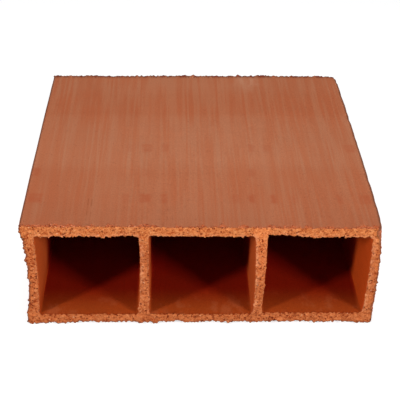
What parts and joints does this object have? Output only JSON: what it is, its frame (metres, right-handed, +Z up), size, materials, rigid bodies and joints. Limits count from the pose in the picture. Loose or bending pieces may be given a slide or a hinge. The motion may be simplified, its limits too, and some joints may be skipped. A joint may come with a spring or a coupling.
{
  "type": "hollow clay building block",
  "caption": "Flat square hollow block of fired brick clay with rectangular cells open right through, for partition walls, floors and flue or roof infill.",
  "frame": {"origin": "middle of the flat underside", "axes": "+Z up through the block's thickness, +X across the cells, +Y along the cells from the front cut end to the back cut end"},
  "size_m": [0.303, 0.3, 0.099],
  "materials": {
    "fired_clay": "unglazed fired brick clay, matt and grainy, orange at the cut ends and pinkish brown on the drawn faces"
  },
  "bodies": {
    "root": {"clay_block": "fired_clay"}
  },
  "joints": []
}
